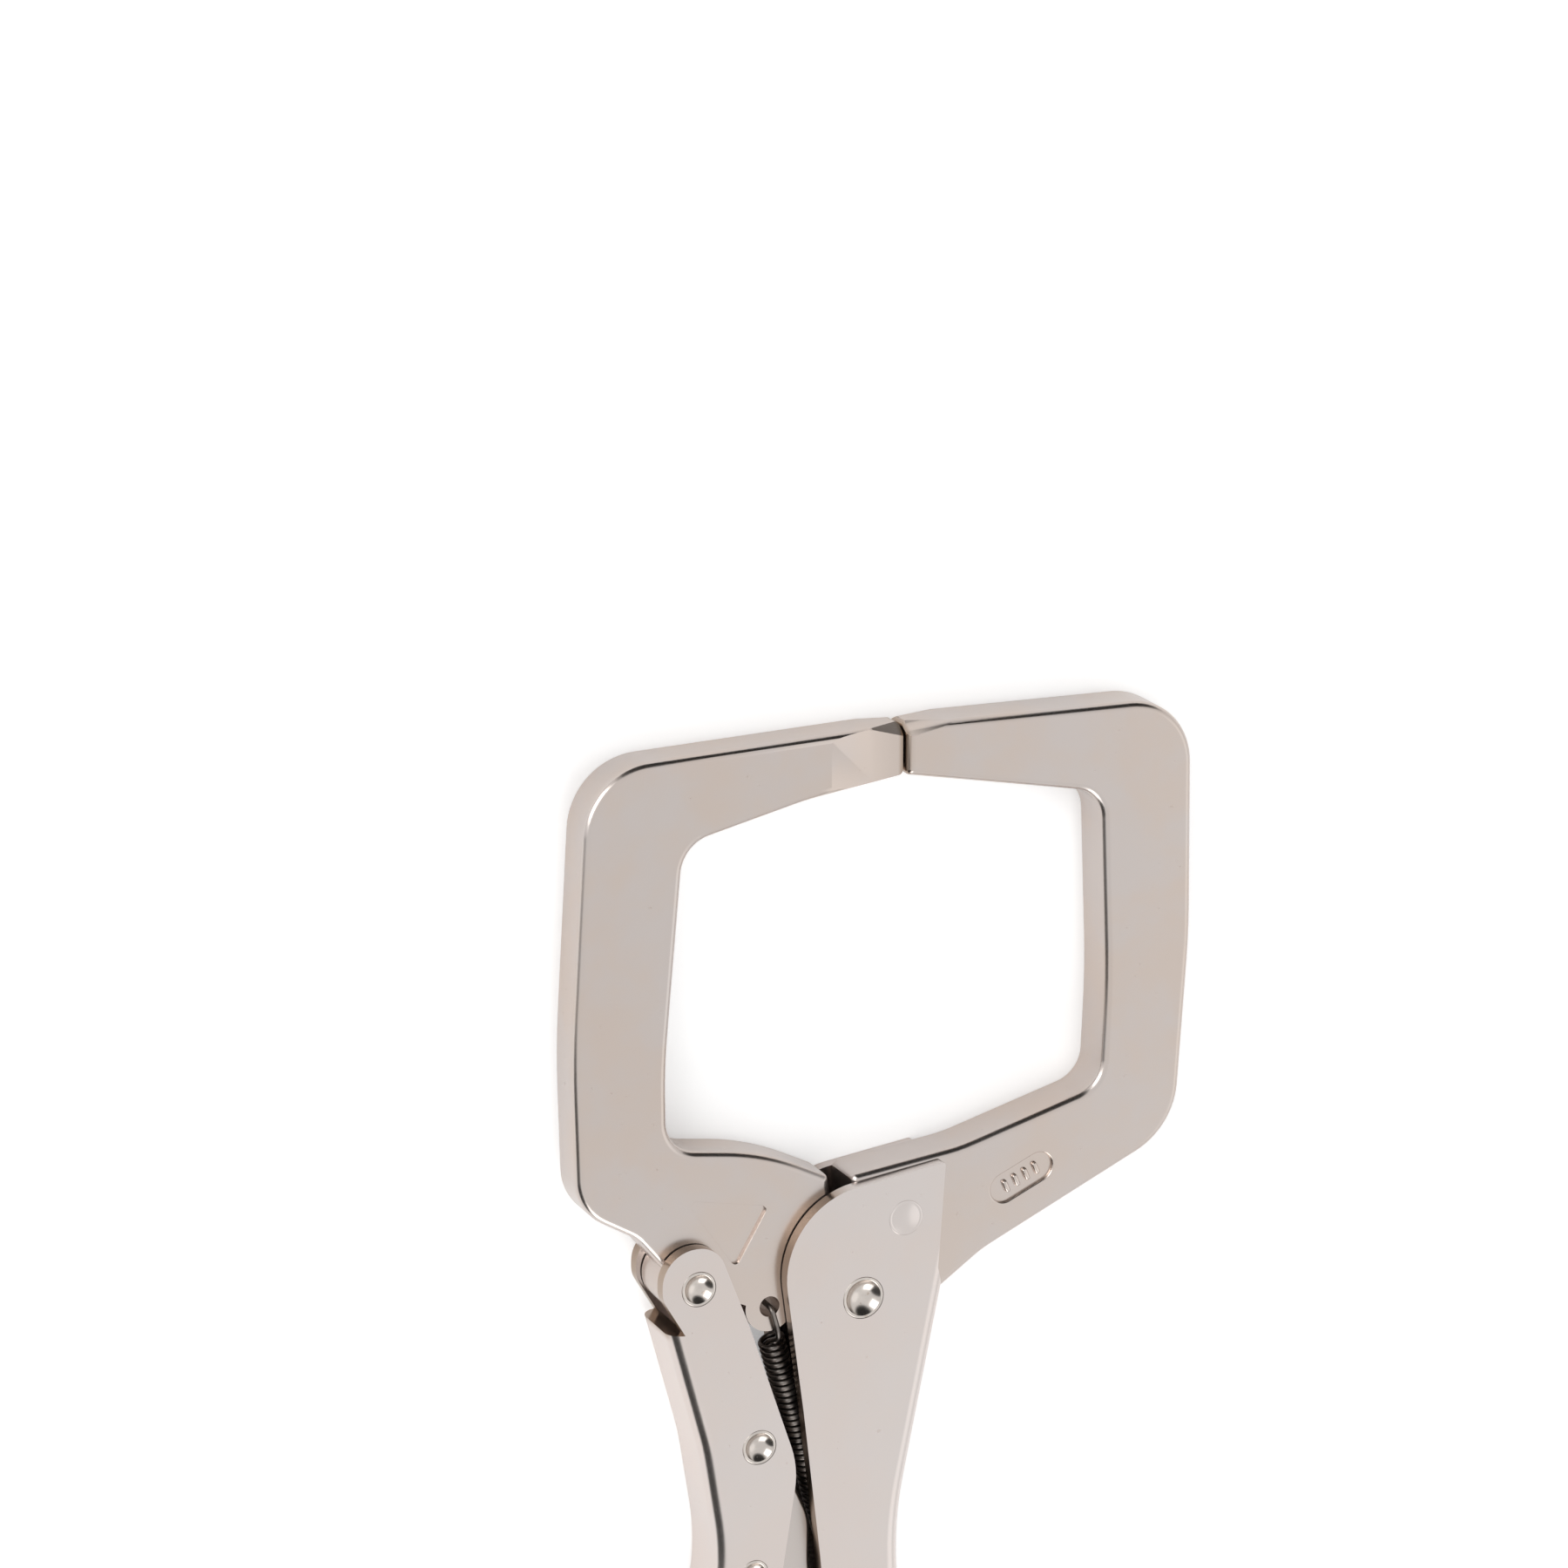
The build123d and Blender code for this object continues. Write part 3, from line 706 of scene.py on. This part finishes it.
def head_radius(distance):
    """Diamond knurling between two plain chamfered bands."""
    lean = (distance - HEAD_AT) * KNURL_LEAN
    crossed = np.abs(np.sin(KNURLS / 2 * angle + lean)) * np.abs(np.sin(KNURLS / 2 * angle - lean))
    from_end = min(distance - HEAD_AT, HEAD_TO - distance)
    chamfer = CHAMFER * (1.0 - ramp(from_end, 0.0, CHAMFER))
    return HEAD_RADIUS - chamfer - KNURL_DEPTH * (1.0 - crossed) * ramp(from_end, 1.0, 1.6)


def hexagon(across):
    """Distance from the middle to a hexagon's side, all round."""
    part = (angle + math.pi / 6) % (math.pi / 3) - math.pi / 6
    return across / 2 / np.cos(part)


# %% The screw's skin
rows = []
for distance, radius in (
    (TIP_AT, 0.4),
    (TIP_AT, TIP_RADIUS - 0.5),
    (TIP_AT + 0.15, TIP_RADIUS - 0.15),
    (TIP_AT + 0.5, TIP_RADIUS),
    (GROOVE_AT, TIP_RADIUS),
    (GROOVE_AT, GROOVE_RADIUS),
    (GROOVE_TO, GROOVE_RADIUS),
    (GROOVE_TO, TIP_RADIUS),
    (THREAD_AT, TIP_RADIUS),
):
    rows.append((distance, np.full(COLUMNS, radius)))
for distance in np.linspace(THREAD_AT, HEAD_AT, THREAD_ROWS):
    rows.append((distance, thread_radius(distance)))
for distance in np.linspace(HEAD_AT, HEAD_TO, HEAD_ROWS):
    rows.append((distance, head_radius(distance)))
for depth, across in (
    (0.0, SOCKET_ACROSS + 1.4),
    (0.0, SOCKET_ACROSS + 1.2),
    (0.35, SOCKET_ACROSS),
    (SOCKET_DEPTH, SOCKET_ACROSS),
):
    rows.append((HEAD_TO - depth, hexagon(across)))
rows.append((HEAD_TO - SOCKET_DEPTH - SOCKET_CONE, np.full(COLUMNS, 0.3)))
screw_rings = np.array([
    LINK_END + distance * screw_line
    + np.outer(np.cos(angle) * radius, screw_up) + np.outer(np.sin(angle) * radius, screw_side)
    for distance, radius in rows
]) * MM
skin("threaded_adjusting_screw", screw_rings, screw_steel, "adjusting_screw")

# %% [markdown]
# ## Floor and light
# The tool lies on a pale lit sheet, as on a light table: the sheet glows a little by itself,
# so its shadows stay faint.  Bare metal shows what surrounds it, so most of its look comes
# from the surroundings: an even pale glow, a little brighter to the right, with two dark
# sectors low down, one behind the tool and one at its near left.  Those two draw the dark
# lines along the rounded edges and the dark crescents in the rivets' dishes.

# %% The floor
floor_material, finish = material("pale_floor")
seen = finish.add("ShaderNodeLightPath", output="Is Camera Ray")
mirrored = finish.add("ShaderNodeLightPath", output="Is Glossy Ray")
shade = finish.mix(finish.noise(3.0, 2.0), (0.90, 0.90, 0.90, 1.0), (0.92, 0.92, 0.92, 1.0))
lit = finish.mix(seen, (0.0, 0.0, 0.0, 1.0), (1.0, 1.0, 1.0, 1.0))
lit = finish.mix(mirrored, lit, (0.50, 0.48, 0.47, 1.0))
shader = finish.add(
    "ShaderNodeBsdfPrincipled", None,
    {"Base Color": shade, "Roughness": 0.9, "Emission Color": lit, "Emission Strength": 0.35},
)
finish.add("ShaderNodeOutputMaterial", None, {"Surface": shader})
floor_mesh = bpy.data.meshes.new("floor")
HALF_FLOOR = 3.0
floor_z = cad_box[0].z - 0.05 * MM
corners = [(x * HALF_FLOOR, y * HALF_FLOOR, floor_z) for x, y in ((-1, -1), (1, -1), (1, 1), (-1, 1))]
floor_mesh.from_pydata(corners, [], [(0, 1, 2, 3)])
floor_mesh.materials.append(floor_material)
floor = bpy.data.objects.new("floor", floor_mesh)
bpy.context.scene.collection.objects.link(floor)


# %% The lights
def soft_box(name, place, size, power):
    """A square light that faces the tool."""
    lamp = bpy.data.lights.new(name, "AREA")
    lamp.size, lamp.energy = size, power
    box = bpy.data.objects.new(name, lamp)
    box.location = place
    box.rotation_euler = Vector(place).to_track_quat("Z", "Y").to_euler()
    bpy.context.scene.collection.objects.link(box)
    return box


soft_box("left_soft_box", (-0.85, 0.55, 0.75), 0.8, 5.0)
soft_box("near_soft_box", (-0.15, -1.1, 0.60), 0.7, 3.0)

# %% The surroundings
world = bpy.data.worlds.new("studio")
bpy.context.scene.world = world
world.use_nodes = True
sky = Finish(world.node_tree)
direction = sky.add("ShaderNodeTexCoord", output="Generated")


def sector(towards, inner, outer):
    """1 inside a cone of directions, falling to 0 at its rim; inner and outer are cosines."""
    middle = Vector(towards).normalized()
    dot = sky.tree.nodes.new("ShaderNodeVectorMath")
    dot.operation = "DOT_PRODUCT"
    sky.tree.links.new(direction.socket, dot.inputs[0])
    dot.inputs[1].default_value = middle
    return sky.step(Wire(sky, dot.outputs["Value"]), outer, inner)


behind = sector((0.34, 0.90, 0.36), 0.86, 0.73)
near_left = sector((-0.70, -0.66, 0.30), 0.91, 0.85)
bright_right = sector((0.75, -0.25, 0.60), 0.97, 0.91)
glow = 0.88 * (1.0 - 0.97 * behind) * (1.0 - 0.95 * near_left) * (1.0 + 0.30 * bright_right)
camera_ray = sky.add("ShaderNodeLightPath", output="Is Camera Ray")
strength = glow * (1.0 - camera_ray) + 0.95 * camera_ray
WHITE = (1.0, 1.0, 1.0, 1.0)
background = sky.add("ShaderNodeBackground", None, {"Color": WHITE, "Strength": strength})
sky.add("ShaderNodeOutputWorld", None, {"Surface": background})
bpy.context.scene.view_settings.view_transform = "Standard"
